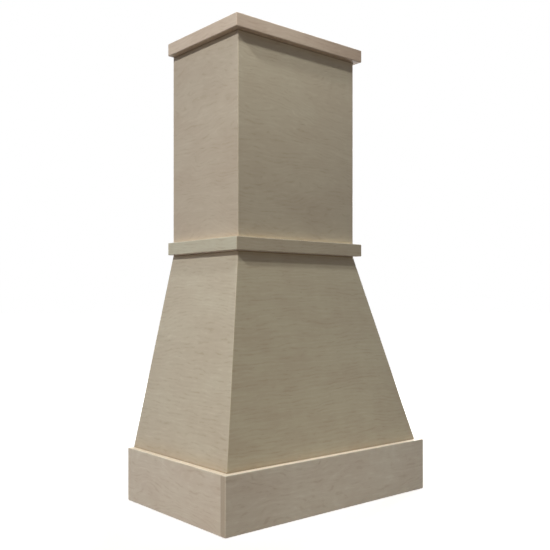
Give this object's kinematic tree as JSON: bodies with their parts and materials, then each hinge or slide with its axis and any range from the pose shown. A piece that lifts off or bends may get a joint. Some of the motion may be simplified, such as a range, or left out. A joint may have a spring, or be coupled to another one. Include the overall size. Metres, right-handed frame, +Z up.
{
  "type": "wooden range hood cover",
  "caption": "Wall-mounted wooden range hood cover: boxed apron, tapered body with mitred hips, straight chimney, belt and crown trim, open inside for an insert and duct.",
  "frame": {"origin": "on the wall plane, at the middle of the hood's width, level with the apron's lower edge", "axes": "+X to the right seen from the front, +Y into the wall, +Z up; the front faces -Y"},
  "size_m": [0.762, 0.476, 1.362],
  "materials": {
    "maple_board": "sanded, unfinished",
    "maple_panel": "sanded, unfinished",
    "plywood": "sanded, unfinished",
    "softwood": "planed, unfinished",
    "screw_steel": "zinc plated"
  },
  "bodies": {
    "root": {"apron_front": "maple_board", "apron_left": "maple_board", "apron_right": "maple_board", "apron_screws": "screw_steel", "base_back": "plywood", "base_front": "plywood", "base_left": "plywood", "base_right": "plywood", "belt_front": "maple_board", "belt_left": "maple_board", "belt_right": "maple_board", "body_wall_rail": "softwood", "chimney_corner_left": "softwood", "chimney_corner_right": "softwood", "chimney_foot_back": "plywood", "chimney_foot_front": "plywood", "chimney_foot_left": "plywood", "chimney_foot_right": "plywood", "chimney_front": "maple_panel", "chimney_head_back": "plywood", "chimney_head_front": "plywood", "chimney_head_left": "plywood", "chimney_head_right": "plywood", "chimney_left": "maple_panel", "chimney_right": "maple_panel", "chimney_screws": "screw_steel", "chimney_wall_rail": "softwood", "collar_back": "plywood", "collar_front": "plywood", "collar_left": "plywood", "collar_right": "plywood", "crown_front": "maple_board", "crown_left": "maple_board", "crown_right": "maple_board", "foot_cleat_front": "softwood", "foot_cleat_left": "softwood", "foot_cleat_right": "softwood", "hip_cleat_left": "softwood", "hip_cleat_right": "softwood", "liner_rail_back": "plywood", "liner_rail_front": "plywood", "liner_rail_left": "plywood", "liner_rail_right": "plywood", "taper_front": "maple_panel", "taper_left": "maple_panel", "taper_right": "maple_panel"}
  },
  "joints": []
}
